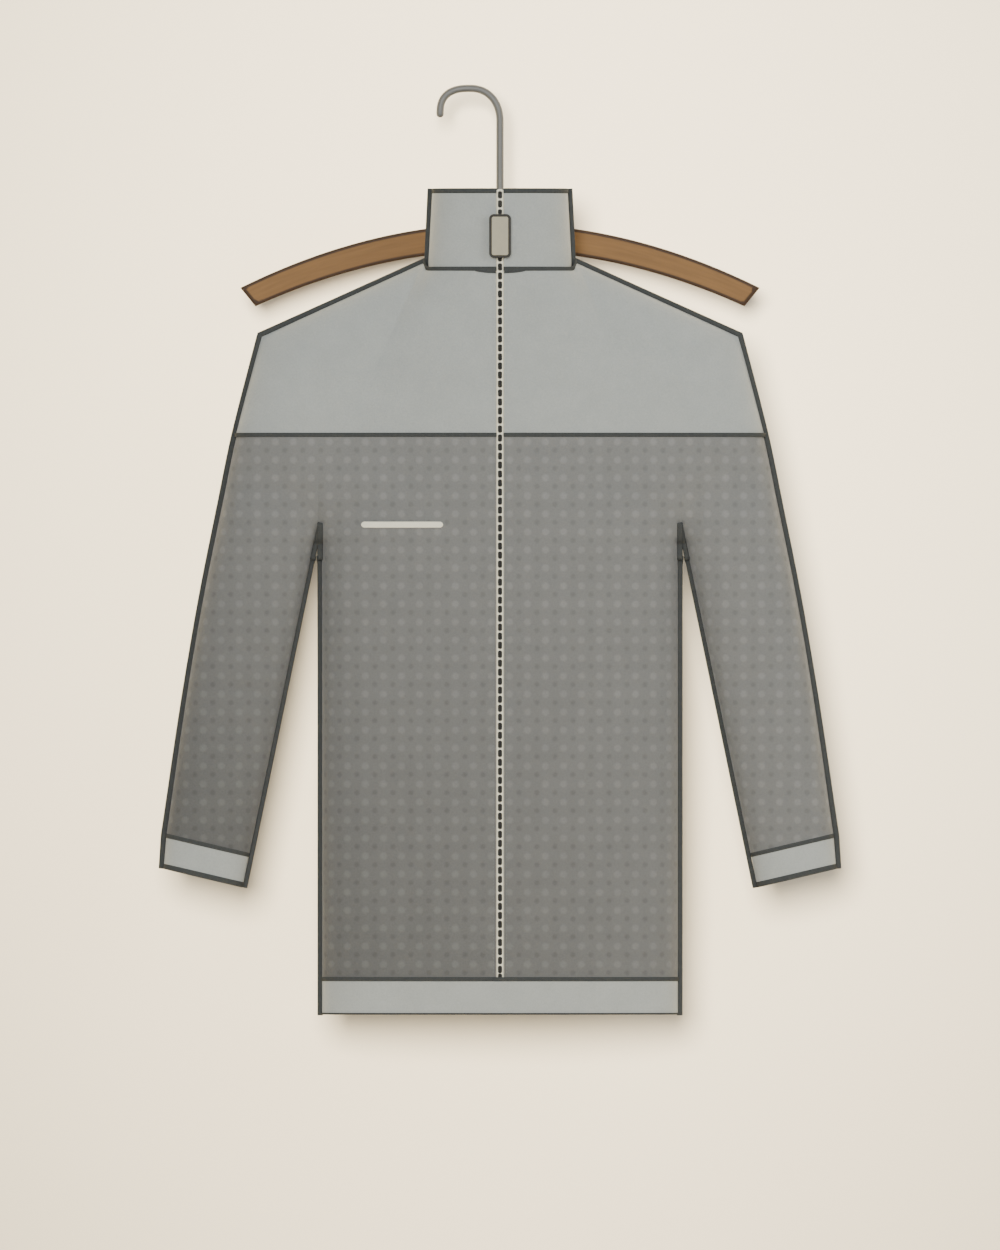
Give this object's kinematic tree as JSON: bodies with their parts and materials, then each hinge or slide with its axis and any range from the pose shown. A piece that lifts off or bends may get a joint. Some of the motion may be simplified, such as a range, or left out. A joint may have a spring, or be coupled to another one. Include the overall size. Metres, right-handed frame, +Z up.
{
  "type": "fleece jacket on a hanger",
  "caption": "Zipped stand-collar fleece jacket with a pale yoke, cuffs and hem band over a dotted body, hung by its neck loop on a flat curved wooden hanger with a wire hook.",
  "frame": {"origin": "hook seat: the inside top of the hanger hook's bend, where a rail touches it", "axes": "+Z up, -Y the way the wearer would face, -X the wearer's right. The jacket's centre line stands at x = +0.0285"},
  "size_m": [0.646, 0.1037, 0.8843],
  "materials": {
    "pale_fleece": "matt brushed nap, light grey",
    "dotted_fleece": "matt brushed nap, mid grey with raised paler dots",
    "zip_tape": "cream woven tape",
    "zip_teeth": "dark brown moulded teeth",
    "slider_metal": "dark satin metal",
    "pull_rubber": "matt taupe rubber",
    "welt_tape": "cream woven welt",
    "loop_cord": "dark grey woven cord",
    "hanger_wood": "oiled mid brown wood, darker edges",
    "hook_wire": "satin grey wire"
  },
  "bodies": {
    "garment": {"yoke_front_right": "pale_fleece", "yoke_front_left": "pale_fleece", "yoke_back": "pale_fleece", "front_right": "dotted_fleece", "front_left": "dotted_fleece", "back": "dotted_fleece", "cuff_right": "pale_fleece", "cuff_left": "pale_fleece", "hem_band": "pale_fleece", "collar": "pale_fleece", "zip_chain": "zip_teeth", "zip_row_right": "zip_teeth", "zip_row_left": "zip_teeth", "zip_tape_right": "zip_tape", "zip_tape_left": "zip_tape", "zip_slider": "slider_metal", "chest_welt": "welt_tape", "hanging_loop": "loop_cord", "hanger_bar": "hanger_wood", "hanger_hook": "hook_wire"},
    "pull_tab": {"pull_tab": "pull_rubber"}
  },
  "joints": [
    {"name": "pull_tab_swing", "type": "hinge", "parent": "garment", "child": "pull_tab", "pos_m": [0.0285, -0.09088, -0.1182], "axis": [-1, 0, 0], "range_deg": [0, 120]}
  ]
}
